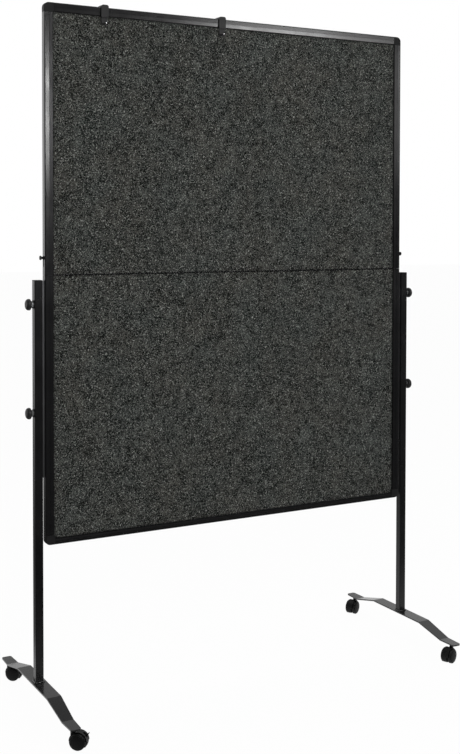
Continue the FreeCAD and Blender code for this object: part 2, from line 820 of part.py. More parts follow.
def caster_housing(name, caster):
    """The body between the wheels: stem boss, web and a hood that reaches over both wheels."""
    boss_height = STEM_TOP + " - boss_gap - boss_floor"
    boss = cylinder(name + "_boss", "boss_radius", boss_height, ("0", "0", "boss_floor"))
    neck = box(name + "_neck", ("caster_trail", "web_thickness", "neck_top - boss_floor"),
               ("0", "-web_thickness / 2", "boss_floor"))
    web = cross_rod(name + "_web", "hood_radius", "web_thickness", "caster_trail", "wheel_radius")
    ring = cross_rod(name + "_ring", "hood_radius", "hood_width", "caster_trail", "wheel_radius")
    inside = "hood_radius - hood_wall"
    room = cross_rod(name + "_room", inside, "hood_width", "caster_trail", "wheel_radius")
    below = box(name + "_below", ("2 * hood_radius", "hood_width", "hood_radius"),
                ("caster_trail - hood_radius", "-hood_width / 2", "wheel_radius - hood_radius"))
    hood = cut(name + "_hood", ring, [room, below])
    floor = box(name + "_floor", ("2 * hood_radius", "web_thickness", "hood_radius"),
                ("caster_trail - hood_radius", "-web_thickness / 2", "web_floor - hood_radius"))
    axle_hole = cross_rod(name + "_axle_hole", "axle_radius + running_gap", "web_thickness", "caster_trail",
                          "wheel_radius")
    stem_hole = cylinder(name + "_stem_hole", "stem_radius + running_gap", "stem_length",
                         ("0", "0", STEM_TOP + " - stem_length - boss_gap"))
    tools = [floor, axle_hole, stem_hole]
    if caster[0] == BRAKED:
        tools += brake_tools(name)
    housing = cut(name, fuse(name + "_solid", [boss, neck, web, hood]), tools)
    caster_place(housing, caster)
    return housing


def caster_axle(name, caster):
    """A headed pin through the web and both wheels."""
    reach = "web_thickness / 2 + 2 * wheel_gap + wheel_width"
    end = reach + " + axle_head"
    half = [("axle_radius", reach), ("axle_head_radius", reach), ("axle_head_radius", end), ("0", end)]
    section = [(radius, "-(%s)" % along) for radius, along in reversed(half)] + half
    axle = turned(name, section)
    caster_place(axle, caster, "caster_trail", "wheel_radius")
    return axle


def caster_wheel(name, caster, hand):
    """A wheel with bevelled tread edges and a dished outer face, on one side of the web (-1 or 1)."""
    near = "web_thickness / 2 + wheel_gap"
    far = near + " + wheel_width"
    dish = far + " - wheel_face_depth"
    bore = "axle_radius + running_gap"
    section = [
        (bore, near),
        ("wheel_radius - wheel_bevel", near),
        ("wheel_radius", near + " + wheel_bevel"),
        ("wheel_radius", far + " - wheel_bevel"),
        ("wheel_radius - wheel_bevel", far),
        ("wheel_face_radius + wheel_face_depth", far),
        ("wheel_face_radius", dish),
        ("wheel_hub_radius", dish),
        ("wheel_hub_radius", far),
        (bore, far),
    ]
    wheel = turned(name, [(radius, "(%d) * (%s)" % (hand, along)) for radius, along in section])
    caster_place(wheel, caster, "caster_trail", "wheel_radius")
    return wheel


def brake_lever(name, caster):
    """A foot lever on a cross pin in the hood's notch."""
    hub = cross_rod(name + "_hub", "brake_hub_radius", "brake_width", "0", "0")
    pin = cross_rod(name + "_pin", "brake_pin_radius", "web_thickness", "0", "0")
    arm = prism(name + "_arm", "XZ_Plane", [[
        ("0", "-brake_thickness / 2"),
        ("brake_bend_reach", "brake_bend_rise"),
        ("brake_reach", "brake_rise"),
        ("brake_reach", "brake_rise + brake_thickness"),
        ("brake_bend_reach", "brake_bend_rise + brake_thickness"),
        ("0", "brake_thickness / 2"),
    ]], "brake_width", ("0", "brake_width / 2", "0"))
    lever = fuse(name, [hub, pin, arm])
    caster_place(lever, caster, "caster_trail + brake_forward", "wheel_radius + brake_lift")
    return lever


def paper_hook(name, centre):
    """A clip that saddles the top rail, with a tongue on the felt and a peg for paper."""
    rail = "(board_depth / 2 + hook_gap)"
    front = "-(%s + hook_front)" % rail
    back = "(%s + hook_back)" % rail
    felt = "(%s / 2 + tongue_felt_gap)" % PANEL
    under = "(%s - rail_width - hook_gap)" % TOP
    crown = TOP + " + hook_crown"
    clip = prism(name + "_clip", "YZ_Plane", [[
        (front, under + " - hook_front"),
        (front, crown),
        (back, crown),
        (back, TOP + " - hook_back_drop"),
        (rail, TOP + " - hook_back_drop"),
        (rail, TOP + " + hook_gap"),
        ("-" + rail, TOP + " + hook_gap"),
        ("-" + rail, under),
        ("-" + felt, under),
        ("-" + felt, under + " - hook_front"),
    ]], "hook_width", (centre + " - hook_width / 2", "0", "0"))

    def crest(edge, bounds):
        return runs_along(edge, "y") and lies_at(edge, "z", bounds.ZMax)
    round_edges(clip, "hook_round", crest)
    tongue_face = "-(%s + tongue_thickness)" % felt
    tongue = box(name + "_tongue",
                 ("tongue_width", "tongue_thickness", "%s - %s + tongue_drop" % (under, TOP)),
                 (centre + " - tongue_width / 2", tongue_face, TOP + " - tongue_drop"))
    peg = turned(name + "_peg", [
        ("0", "weld_depth"),
        ("peg_radius", "weld_depth"),
        ("peg_radius", "-peg_length"),
        ("0", "-peg_length"),
    ])

    def tip(edge, bounds):
        return edge.Curve.TypeId == "Part::GeomCircle" and lies_at(edge, "y", bounds.YMin)
    round_edges(peg, "peg_round", tip)
    place(peg, (centre, tongue_face, TOP + " - peg_drop"))
    return fuse(name, [clip, tongue, peg])


# Board: two framed panels, one above the other
PANEL_BOTTOM = "(board_bottom + bottom_rail_height - bottom_channel_depth + panel_gap)"
PANEL_TOP = "(board_bottom + board_height - rail_width + channel_depth - panel_gap)"
panel("lower", PANEL_BOTTOM, "(%s - seam_strip_height)" % LOWER_TOP)
panel("upper", "(%s + seam_strip_height)" % UPPER_BOTTOM, PANEL_TOP)
seam_strip("lower_seam_strip", LOWER_TOP + " - seam_strip_height")
seam_strip("upper_seam_strip", UPPER_BOTTOM)
for side_name, side in SIDES:
    label = "lower_%s_rail" % side_name
    keep(side_rail(label, side, "(board_bottom + corner_size)", LOWER_TOP), label)
    label = "upper_%s_rail" % side_name
    section = side_rail(label + "_section", side, UPPER_BOTTOM, "(%s - corner_size)" % TOP)
    keep(cut(label, section, [lock_slot(label + "_slot", side)]), label)
BOTTOM_SIZES = ("bottom_rail_height", "bottom_channel_depth")
TOP_SIZES = ("rail_width", "channel_depth")
keep(cross_rail("bottom_rail", *BOTTOM_SIZES, "bottom_groove_place", "board_bottom", -1), "bottom_rail")
keep(cross_rail("top_rail", *TOP_SIZES, "rail_groove_place", TOP, 1), "top_rail")
bottom = [corner("bottom_corner_" + name, side, -1, "board_bottom", *BOTTOM_SIZES) for name, side in SIDES]
keep(group("bottom_corner_pair", bottom), "bottom_corners")
top = [corner("top_corner_" + name, side, 1, TOP, *TOP_SIZES) for name, side in SIDES]
keep(group("top_corner_pair", top), "top_corners")

# Fold hinge and its locks
lower = [hinge_leaf("lower_leaf_" + name, side, -1, (0, 2)) for name, side in SIDES]
keep(group("lower_leaf_pair", lower), "lower_hinge_leaves")
upper = [hinge_leaf("upper_leaf_" + name, side, 1, (1,)) for name, side in SIDES]
keep(group("upper_leaf_pair", upper), "upper_hinge_leaves")
pins = [hinge_pin("hinge_pin_" + name, side) for name, side in SIDES]
keep(group("hinge_pin_pair", pins), "hinge_pins")
for side_name, side in SIDES:
    keep(lock_bolt(side_name + "_lock_bolt", side), side_name + "_lock_bolt")

# Guides and clamps
guides = [guide_rail("guide_rail_" + name, side) for name, side in SIDES]
keep(group("guide_pair", guides), "guide_rails")
for label, maker in (("clamp_nut", clamp_nut), ("clamp_washer", clamp_washer)):
    pieces = []
    for side_name, side, level_name in CLAMPS:
        pieces.append(maker("%s_%s_%s" % (label, side_name, level_name), side, CLAMP_LEVELS[level_name]))
    keep(group(label + "_set", pieces), label + "s")
for side_name, side, level_name in CLAMPS:
    for kind, maker in (("knob", clamp_knob), ("clamp_screw", clamp_screw)):
        label = "%s_%s_%s" % (side_name, level_name, kind)
        keep(maker(label, side, CLAMP_LEVELS[level_name]), label)

# Posts and feet
for side_name, side in SIDES:
    keep(post(side_name + "_post", side), side_name + "_post")
    keep(foot(side_name + "_foot", side), side_name + "_foot")
for label, maker in (("post_cap", post_cap), ("post_base_plug", base_plug), ("foot_bolt", foot_bolt)):
    pieces = [maker("%s_%s" % (label, name), side) for name, side in SIDES]
    keep(group(label + "_pair", pieces), label + "s")

# Casters
stems = [caster_stem("caster_stem_" + caster[0], caster) for caster in CASTERS]
keep(group("stem_set", stems), "caster_stems")
for caster in CASTERS:
    stem = caster[0] + "_caster"
    keep(caster_housing(stem + "_housing", caster), stem + "_housing")
    keep(caster_axle(stem + "_axle", caster), stem + "_axle")
    for hand_name, hand in (("first", -1), ("second", 1)):
        label = "%s_%s_wheel" % (caster[0], hand_name)
        keep(caster_wheel(label, caster, hand), label)
    if caster[0] == BRAKED:
        keep(brake_lever(caster[0] + "_brake_lever", caster), caster[0] + "_brake_lever")

# Paper hooks
for side_name, side in SIDES:
    keep(paper_hook(side_name + "_paper_hook", side_name + "_hook_place"), side_name + "_paper_hook")

doc.recompute()
for item in doc.Objects:
    if "Invalid" in item.State or "Error" in item.State:
        raise RuntimeError("%s did not build" % item.Label)
for item in PARTS:
    if item.Shape.isNull() or not item.Shape.isValid():
        raise RuntimeError("%s has no valid shape" % item.Label)
os.makedirs("parts", exist_ok=True)
for item in PARTS:
    item.Shape.exportStep("parts/%s.step" % item.Label)
    print(item.Label, len(item.Shape.Solids), round(item.Shape.Volume, 1))
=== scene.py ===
# %% [markdown]
# A mobile pinboard: two felt panels in one black frame, carried between two square posts that
# stand on bent steel feet with twin-wheel casters. The frame, the mechanism and all the hard
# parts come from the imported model. This lesson lights them, gives each finish its own material,
# lays real felt on the panels and adds the small fasteners and trims that a solid model leaves out.

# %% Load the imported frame
import json
import math

import bmesh
import bpy
from mathutils import Matrix, Vector, noise


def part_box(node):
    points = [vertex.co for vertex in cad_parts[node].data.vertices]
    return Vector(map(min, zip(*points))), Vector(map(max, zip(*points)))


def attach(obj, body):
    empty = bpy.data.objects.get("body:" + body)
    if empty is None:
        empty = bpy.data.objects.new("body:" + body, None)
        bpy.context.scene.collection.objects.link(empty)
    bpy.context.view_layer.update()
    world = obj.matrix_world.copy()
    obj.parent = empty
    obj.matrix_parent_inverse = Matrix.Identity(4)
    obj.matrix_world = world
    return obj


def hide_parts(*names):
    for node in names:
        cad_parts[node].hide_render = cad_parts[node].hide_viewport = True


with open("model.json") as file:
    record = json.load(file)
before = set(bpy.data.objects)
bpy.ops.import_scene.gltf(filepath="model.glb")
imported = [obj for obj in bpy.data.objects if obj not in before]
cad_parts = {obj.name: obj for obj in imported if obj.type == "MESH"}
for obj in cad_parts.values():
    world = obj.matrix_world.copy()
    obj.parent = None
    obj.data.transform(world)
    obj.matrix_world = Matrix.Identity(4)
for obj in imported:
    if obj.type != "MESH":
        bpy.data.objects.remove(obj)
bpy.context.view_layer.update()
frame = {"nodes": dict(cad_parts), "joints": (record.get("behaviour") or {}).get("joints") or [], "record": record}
MM = 0.001

# %% [markdown]
# The picture was taken from the left of the board, a little above its middle, with the lens shifted
# down and to the left. Tilting the camera would frame the board as well, but then the posts would
# lean. So the camera looks almost level, as the real one did, and the shift moves the frame.

# %% Camera
IMAGE_WIDTH, IMAGE_HEIGHT = 460, 754
SENSOR = 36.0
FOCAL_PIXELS = 1182.09
LENS_CENTRE = (279.36, 260.035)
CAMERA_PLACE = Vector((-1.6773, -3.1436, 1.3502))
CAMERA_YAW = math.radians(30.2)
CAMERA_PITCH = math.radians(1.66)
CAMERA_ROLL = math.radians(0.15)


def link_object(name, data):
    """A new object in the scene, at the origin."""
    obj = bpy.data.objects.new(name, data)
    bpy.context.scene.collection.objects.link(obj)
    return obj


forward = Vector((math.sin(CAMERA_YAW) * math.cos(CAMERA_PITCH),
                  math.cos(CAMERA_YAW) * math.cos(CAMERA_PITCH), -math.sin(CAMERA_PITCH)))
level_right = Vector((math.cos(CAMERA_YAW), -math.sin(CAMERA_YAW), 0))
level_up = level_right.cross(forward)
right = level_right * math.cos(CAMERA_ROLL) + level_up * math.sin(CAMERA_ROLL)
up = right.cross(forward)

camera_data = bpy.data.cameras.new("camera")
camera_data.sensor_width = SENSOR
camera_data.lens = FOCAL_PIXELS * SENSOR / IMAGE_HEIGHT
camera_data.shift_x = (IMAGE_WIDTH / 2 - LENS_CENTRE[0]) / IMAGE_HEIGHT
camera_data.shift_y = (LENS_CENTRE[1] - IMAGE_HEIGHT / 2) / IMAGE_HEIGHT
camera = link_object("camera", camera_data)
facing_board = Matrix((right, up, -forward)).transposed().to_4x4()
camera.matrix_world = Matrix.Translation(CAMERA_PLACE) @ facing_board
bpy.context.scene.camera = camera
bpy.context.scene.view_settings.view_transform = "Standard"
print("lens", round(camera_data.lens, 2), "shift", round(camera_data.shift_x, 4),
      round(camera_data.shift_y, 4))

# %% [markdown]
# Black satin parts show the room more than their own colour, so the room is built for its reflections.
# It is white behind the board, brightest low down and on the right, and dim on the camera's side: front
# faces stay dark, while side faces and feet, seen at a slant, pick up the white. The left wall is bright
# far back and dark near the camera. A picture of a studio could do this too. Here each wall is a Map
# Range node on the direction of view, so its level is set on its own. The camera sees plain white.

# %% Room
ROOM_FRONT, ROOM_BACK, ROOM_HIGH = 0.23, 1.0, 0.42
ROOM_LEFT, ROOM_NEAR_LEFT, ROOM_RIGHT = 1.95, 0.2, 0.88
FRONT_TO_BACK, LOW_TO_HIGH = (-0.7, 0.35), (0.05, 0.42)
LEFT_TO_MIDDLE, MIDDLE_TO_RIGHT = (-0.45, -0.10), (0.40, 0.58)
NEAR_LEFT_TO_LEFT = (-0.05, 0.45)


def link(tree, start, end):
    """Join two sockets, or set the end socket to a plain value."""
    if isinstance(start, bpy.types.NodeSocket):
        tree.links.new(start, end)
    else:
        end.default_value = start


def set_values(node, **values):
    """Set a node's values; a value's name is one of its properties, or one of its input sockets."""
    for name, value in values.items():
        if hasattr(node, name):
            setattr(node, name, value)
        else:
            node.inputs[name.replace("_", " ")].default_value = value
    return node


def add_node(tree, kind, **values):
    return set_values(tree.nodes.new(kind), **values)


def combine(tree, operation, *values):
    """A Math node on sockets or plain numbers."""
    node = add_node(tree, "ShaderNodeMath", operation=operation)
    for socket, value in zip(node.inputs, values):
        link(tree, value, socket)
    return node.outputs[0]


def spread(tree, value, low, high, to_low=0.0, to_high=1.0, curve="LINEAR"):
    """A value stretched from one range to another."""
    stretch = add_node(tree, "ShaderNodeMapRange", interpolation_type=curve, From_Min=low,
                       From_Max=high, To_Min=to_low, To_Max=to_high)
    link(tree, value, stretch.inputs["Value"])
    return stretch.outputs["Result"]


def split_axes(tree, vector):
    """The X, Y and Z of a place or a direction."""
    split = add_node(tree, "ShaderNodeSeparateXYZ")
    link(tree, vector, split.inputs[0])
    return split.outputs["X"], split.outputs["Y"], split.outputs["Z"]


world = bpy.data.worlds.new("white_studio")
bpy.context.scene.world = world
world.use_nodes = True
tree = world.node_tree
to_right, to_back, to_top = split_axes(tree, add_node(tree, "ShaderNodeTexCoord").outputs["Generated"])
walls = spread(tree, to_back, *FRONT_TO_BACK, ROOM_FRONT, ROOM_BACK, "SMOOTHSTEP")
fade_up = spread(tree, to_top, *LOW_TO_HIGH, 1.0, ROOM_HIGH)
right_wall = spread(tree, to_right, *MIDDLE_TO_RIGHT, 0.0, ROOM_RIGHT)
leftness = spread(tree, to_right, *LEFT_TO_MIDDLE, 1.0, 0.0)
left_level = spread(tree, to_back, *NEAR_LEFT_TO_LEFT, ROOM_NEAR_LEFT - 1, ROOM_LEFT - 1)
left_wall = combine(tree, "MULTIPLY_ADD", leftness, left_level, 1.0)
sides = combine(tree, "MULTIPLY", combine(tree, "MAXIMUM", fade_up, right_wall), left_wall)
room = combine(tree, "MULTIPLY", walls, sides)
camera_ray = add_node(tree, "ShaderNodeLightPath").outputs["Is Camera Ray"]
backdrop = set_values(tree.nodes["Background"], Strength=1.0)
link(tree, combine(tree, "MAXIMUM", room, camera_ray), backdrop.inputs["Color"])
print("room nodes", len(tree.nodes))

# %% [markdown]
# The picture's floor is white with a faint shadow: to the camera it glows, and a small plain share of
# it takes the shadow. Shiny faces see another floor, a white sheet that starts under the left foot and
# runs out to the right, on a darker ground that brightens towards the lit back wall. Two floors could
# do that with ray visibility. Light Path tells the rays apart, so one plane with one material is enough.

# %% Floor
FLOOR_SIZE = 60.0
FLOOR_GLOW = 0.97
FLOOR_WHITE = (0.8, 0.8, 0.8, 1)
STUDIO_FLOOR, LIT_FLOOR = 0.09, 0.90
LIT_FROM, LIT_TO = 1.8, 7.0
SHEET_FROM, SHEET_TO, SHEET_WHITE = -1.15, 0.30, 0.92
SHEET_FRONT = (-0.9, -0.3)
FOOT_CENTRE = (-0.62, 0.10, 0.0)
FOOT_INSIDE, FOOT_OUTSIDE = 0.25, 0.65


def new_finish(name):
    """A new material, its node tree and the shader in it."""
    material = bpy.data.materials.new(name)
    material.use_nodes = True
    return material, material.node_tree, material.node_tree.nodes["Principled BSDF"]


def object_place(tree):
    return add_node(tree, "ShaderNodeTexCoord").outputs["Object"]


grid = bmesh.new()
bmesh.ops.create_grid(grid, x_segments=1, y_segments=1, size=FLOOR_SIZE / 2)
floor_mesh = bpy.data.meshes.new("floor")
grid.to_mesh(floor_mesh)
grid.free()
floor = link_object("floor", floor_mesh)
floor_finish, tree, plain = new_finish("studio_floor")
floor_mesh.materials.append(floor_finish)
set_values(plain, Base_Color=FLOOR_WHITE, Roughness=0.9, Specular_IOR_Level=0.1)
spot = object_place(tree)
from_foot = add_node(tree, "ShaderNodeVectorMath", operation="DISTANCE")
link(tree, spot, from_foot.inputs[0])
link(tree, FOOT_CENTRE, from_foot.inputs[1])
around_foot = spread(tree, from_foot.outputs["Value"], FOOT_INSIDE, FOOT_OUTSIDE, 1.0, STUDIO_FLOOR,
                     "SMOOTHSTEP")
to_right, to_back, _ = split_axes(tree, spot)
sheet = spread(tree, to_right, SHEET_FROM, SHEET_TO, STUDIO_FLOOR, SHEET_WHITE)
sheet = combine(tree, "MULTIPLY", sheet, spread(tree, to_back, *SHEET_FRONT))
behind = spread(tree, to_back, LIT_FROM, LIT_TO, STUDIO_FLOOR, LIT_FLOOR)
bright = combine(tree, "MAXIMUM", combine(tree, "MAXIMUM", sheet, around_foot), behind)
rays = add_node(tree, "ShaderNodeLightPath").outputs
glow = add_node(tree, "ShaderNodeEmission")
link(tree, combine(tree, "MAXIMUM", bright, rays["Is Camera Ray"]), glow.inputs["Strength"])
mirrored = combine(tree, "MAXIMUM", rays["Is Glossy Ray"], rays["Is Transmission Ray"])
share = combine(tree, "MULTIPLY_ADD", rays["Is Camera Ray"], FLOOR_GLOW, mirrored)
blend_floor = add_node(tree, "ShaderNodeMixShader")
for start, end in zip((share, plain.outputs[0], glow.outputs[0]), blend_floor.inputs):
    link(tree, start, end)
link(tree, blend_floor.outputs[0], tree.nodes["Material Output"].inputs["Surface"])
print("floor nodes", len(tree.nodes))

# %% [markdown]
# A large key lamp in front and one overhead light the felt evenly, and three smaller windows leave the
# soft bright stretches on the top and side rails. A photographer keeps a lamp off a shiny rail with a
# flag, a black card on a stand. Light linking is the tidier way here: it needs no card that could show
# in a reflection, only a collection of the parts that the lamp leaves out.

# %% Lamps
BOARD_CENTRE = (0, 0, 1.1)


def panel_lamp(name, place, aim, width, height, power):
    lamp = bpy.data.lights.new(name, "AREA")
    lamp.shape = "RECTANGLE"
    lamp.size, lamp.size_y, lamp.energy = width, height, power
    obj = link_object(name, lamp)
    look = (Vector(aim) - Vector(place)).to_track_quat("-Z", "Y")
    obj.matrix_world = Matrix.Translation(place) @ look.to_matrix().to_4x4()
    obj.visible_camera = False
    print(name, "power", power)
    return obj


def flag_off(lamp, names):
    """Keep a lamp's light off some parts, as a black card on a stand would."""
    shaded = bpy.data.collections.new(lamp.name + "_flag")
    lamp.light_linking.receiver_collection = shaded
    for name in names:
        shaded.objects.link(frame["nodes"][name])
    for entry in shaded.collection_objects:
        entry.light_linking.link_state = "EXCLUDE"
    print(lamp.name, "flagged off", names)


panel_lamp("key_lamp", (-1.6, -4.0, 3.4), BOARD_CENTRE, 2.0, 2.0, 83)
panel_lamp("top_lamp", (0.4, 0.3, 4.2), BOARD_CENTRE, 2.6, 1.6, 40)
left_window = panel_lamp("left_window", (0.68, -3.8, 2.03), (-0.6, 0, 1.65), 0.30, 0.50, 17)
right_window = panel_lamp("right_window", (2.05, -3.45, 2.15), (0.1, 0, 1.95), 0.70, 0.85, 28)
far_window = panel_lamp("far_window", (2.75, -3.45, 2.20), (0.5, 0, 1.9), 0.85, 0.9, 9)
flag_off(left_window, ["top_rail", "top_corners"])
flag_off(right_window, ["upper_right_rail", "guide_rails"])
flag_off(far_window, ["guide_rails"])

# %% [markdown]
# Every finish is built from a few shared effects. "coat_peel" is the fine orange peel of powder coat,
# "drawn_lines" the long faint lines that the die leaves on extruded or drawn metal, "handled_haze" the
# cloudy change of gloss that hands and cleaning leave, and "moulded_grain" the pitted skin of moulded
# plastic. Each is a node group, built once and placed where it is needed. It reads the object's own
# coordinates, so that the pattern stays on its part when a joint moves it.

# %% Shared effects
SOCKET = {"value": "NodeSocketFloat", "vector": "NodeSocketVector"}
TONE_RANGE, LINE_RANGE, HAZE_RANGE = (0.35, 0.65), (0.3, 0.7), (0.38, 0.68)
LINE_HEIGHT, RIPPLE_HEIGHT = 0.3, 2.0


def new_group(name, inputs, outputs):
    """An empty node group with named sockets: its tree, what comes in and where the result goes."""
    group = bpy.data.node_groups.new(name, "ShaderNodeTree")
    for label, kind, default in inputs:
        socket = group.interface.new_socket(label, in_out="INPUT", socket_type=SOCKET[kind])
        socket.default_value = default
    for label in outputs:
        group.interface.new_socket(label, in_out="OUTPUT", socket_type=SOCKET["value"])
    return group, group.nodes.new("NodeGroupInput").outputs, group.nodes.new("NodeGroupOutput").inputs


def cloud(tree, place, waves, detail=2.0, roughness=0.5, distortion=0.0):
    """Noise on a place; waves is a number of waves in a metre, or a socket that gives it."""
    texture = add_node(tree, "ShaderNodeTexNoise", Detail=detail, Roughness=roughness,
                       Distortion=distortion)
    link(tree, place, texture.inputs["Vector"])
    link(tree, waves, texture.inputs["Scale"])
    return texture.outputs["Fac"]


coat_peel, come, go = new_group("coat_peel", [("Waves", "value", 700.0)], ["Height", "Tone"])
place = object_place(coat_peel)
link(coat_peel, cloud(coat_peel, place, come["Waves"], roughness=0.55), go["Height"])
tone = cloud(coat_peel, place, 14.0, detail=3.0, roughness=0.6)
link(coat_peel, spread(coat_peel, tone, *TONE_RANGE), go["Tone"])

drawn_lines, come, go = new_group(
    "drawn_lines", [("Stretch", "vector", (900.0, 900.0, 6.0)), ("Ripple", "value", 0.2)],
    ["Height", "Tone"])
stretched = add_node(drawn_lines, "ShaderNodeVectorMath", operation="MULTIPLY")
link(drawn_lines, object_place(drawn_lines), stretched.inputs[0])
link(drawn_lines, come["Stretch"], stretched.inputs[1])
lines = cloud(drawn_lines, stretched.outputs[0], 1.0, detail=3.0, roughness=0.6)
ripple = cloud(drawn_lines, stretched.outputs[0], come["Ripple"], detail=1.0, distortion=0.8)
rolling = combine(drawn_lines, "MULTIPLY", ripple, RIPPLE_HEIGHT)
link(drawn_lines, combine(drawn_lines, "MULTIPLY_ADD", lines, LINE_HEIGHT, rolling), go["Height"])
link(drawn_lines, spread(drawn_lines, lines, *LINE_RANGE), go["Tone"])

handled_haze, come, go = new_group("handled_haze", [("Waves", "value", 9.0)], ["Haze"])
haze = cloud(handled_haze, object_place(handled_haze), come["Waves"], detail=4.0, roughness=0.62,
             distortion=0.6)
link(handled_haze, spread(handled_haze, haze, *HAZE_RANGE), go["Haze"])

moulded_grain, come, go = new_group("moulded_grain", [("Waves", "value", 1600.0)], ["Height", "Tone"])
place = object_place(moulded_grain)
pits = add_node(moulded_grain, "ShaderNodeTexVoronoi", feature="SMOOTH_F1", Smoothness=0.6)
link(moulded_grain, place, pits.inputs["Vector"])
link(moulded_grain, come["Waves"], pits.inputs["Scale"])
link(moulded_grain, pits.outputs["Distance"], go["Height"])
flow = cloud(moulded_grain, place, 40.0, detail=3.0, roughness=0.6, distortion=0.4)
link(moulded_grain, spread(moulded_grain, flow, *TONE_RANGE), go["Tone"])
print("groups", [group.name for group in bpy.data.node_groups])

# %% [markdown]
# One helper wires these effects into a Principled shader: the tone moves the base colour between two
# close shades, the haze moves the roughness, and the height goes through a Bump node. Each finish could
# have a node tree drawn by hand, but the helper keeps them alike and leaves only their values to read.
# Plain numbers such as the specular level stay on the shader's own sockets.

# %% Hard finishes
HAZE_WAVES = 9.0
UPRIGHT, ALONG = (900.0, 900.0, 12.0), (12.0, 900.0, 900.0)
BLACK, NEAR_BLACK = (0.0035, 0.0035, 0.0038), (0.006, 0.006, 0.0064)


def place_group(tree, group, **values):
    return add_node(tree, "ShaderNodeGroup", node_tree=group, **values)


def blend_colour(tree, mask, first, second):
    """A mix of two colours, each a socket or a plain colour, by a mask."""
    mix = add_node(tree, "ShaderNodeMix", data_type="RGBA")
    link(tree, mask, mix.inputs[0])
    for socket, colour in ((mix.inputs[6], first), (mix.inputs[7], second)):
        link(tree, (*colour, 1) if isinstance(colour, tuple) else colour, socket)
    return mix.outputs[2]


def raise_surface(tree, height, strength, depth, shader):
    """Let a height move the shader's normal; depth is in millimetres."""
    relief = add_node(tree, "ShaderNodeBump", Strength=strength, Distance=depth * MM)
    link(tree, height, relief.inputs["Height"])
    link(tree, relief.outputs["Normal"], shader.inputs["Normal"])


def hard_finish(name, grain, grain_values, dark, light, gloss, bump, metallic=0.0, specular=0.5):
    """A coated, drawn or moulded surface; gloss is its roughness where clean and where hazy."""
    material, tree, shader = new_finish(name)
    texture = place_group(tree, grain, **grain_values)
    link(tree, blend_colour(tree, texture.outputs["Tone"], dark, light), shader.inputs["Base Color"])
    worn = place_group(tree, handled_haze, Waves=HAZE_WAVES)
    link(tree, spread(tree, worn.outputs["Haze"], 0.0, 1.0, *gloss), shader.inputs["Roughness"])
    raise_surface(tree, texture.outputs["Height"], *bump, shader)
    set_values(shader, Metallic=metallic, Specular_IOR_Level=specular)
    return material


frame_upright = hard_finish("anodised_frame_upright", drawn_lines, {"Stretch": UPRIGHT}, BLACK,
                            NEAR_BLACK, gloss=(0.17, 0.25), bump=(0.2, 0.05), specular=0.42)
frame_along = hard_finish("anodised_frame_along", drawn_lines, {"Stretch": ALONG}, BLACK,
                          NEAR_BLACK, gloss=(0.17, 0.25), bump=(0.2, 0.05), specular=0.42)
guide_metal = hard_finish("mill_finish_guide", drawn_lines, {"Stretch": UPRIGHT}, (0.15, 0.15, 0.155),
                          (0.21, 0.21, 0.215), gloss=(0.32, 0.42), bump=(0.2, 0.05), metallic=1.0)
post_coat = hard_finish("black_powder_coat", coat_peel, {"Waves": 650.0}, BLACK, NEAR_BLACK,
                        gloss=(0.22, 0.30), bump=(0.2, 0.04), specular=0.30)
foot_coat = hard_finish("anthracite_powder_coat", coat_peel, {"Waves": 600.0}, (0.006, 0.006, 0.0063),
                        (0.010, 0.010, 0.0103), gloss=(0.16, 0.24), bump=(0.08, 0.05), specular=0.42)
black_plastic = hard_finish("matte_black_plastic", moulded_grain, {"Waves": 1500.0}, BLACK, NEAR_BLACK,
                            gloss=(0.52, 0.64), bump=(0.3, 0.06), specular=0.28)
# Paper hooks: the corners' black plastic, a little glossier and painted a little lighter, as painted light for
# what the tongues catch from above.
hook_plastic_painted_light = hard_finish("hook_black_painted_light", moulded_grain, {"Waves": 1500.0}, (0.005, 0.005, 0.0052),
                           (0.009, 0.009, 0.0093), gloss=(0.42, 0.54), bump=(0.3, 0.06), specular=0.3)
# Seam strips: black plastic painted darker still, a painted shade for the dark line where the panels meet.
seam_painted_shade = hard_finish("seam_strip_painted_shade", moulded_grain, {"Waves": 1200.0}, (0.001, 0.001, 0.0011),
                         (0.002, 0.002, 0.0021), gloss=(0.70, 0.80), bump=(0.3, 0.06), specular=0.05)
knob_plastic = hard_finish("dark_grey_knob", moulded_grain, {"Waves": 1700.0}, (0.011, 0.011, 0.0115),
                           (0.018, 0.018, 0.0185), gloss=(0.44, 0.54), bump=(0.15, 0.05), specular=0.3)
caster_plastic = hard_finish("caster_black", moulded_grain, {"Waves": 1400.0}, (0.0025, 0.0025, 0.0027),
                             (0.0045, 0.0045, 0.0048), gloss=(0.42, 0.54), bump=(0.15, 0.05),
                             specular=0.18)
cover_plastic = hard_finish("wheel_cover_black", moulded_grain, {"Waves": 1400.0},
                            (0.0025, 0.0025, 0.0027), (0.0042, 0.0042, 0.0045), gloss=(0.45, 0.55),
                            bump=(0.15, 0.05), specular=0.12)
seal_rubber = hard_finish("post_seal_rubber", moulded_grain, {"Waves": 900.0}, (0.002, 0.002, 0.0022),
                          (0.004, 0.004, 0.0042), gloss=(0.10, 0.18), bump=(0.1, 0.05))
ball_metal = hard_finish("steel_ball", drawn_lines, {"Stretch": (800.0, 800.0, 800.0)},
                         (0.44, 0.44, 0.445), (0.54, 0.54, 0.545), gloss=(0.20, 0.30),
                         bump=(0.1, 0.03), metallic=1.0)
zinc = hard_finish("bright_zinc", drawn_lines, {"Stretch": (700.0, 700.0, 90.0)}, (0.52, 0.53, 0.54),
                   (0.66, 0.67, 0.68), gloss=(0.24, 0.38), bump=(0.2, 0.04), metallic=1.0)
core_fibre = hard_finish("soft_fibreboard", moulded_grain, {"Waves": 500.0}, (0.36, 0.28, 0.18),
                         (0.50, 0.41, 0.28), gloss=(0.85, 0.95), bump=(0.6, 0.3), specular=0.2)
print("materials so far", len(bpy.data.materials))
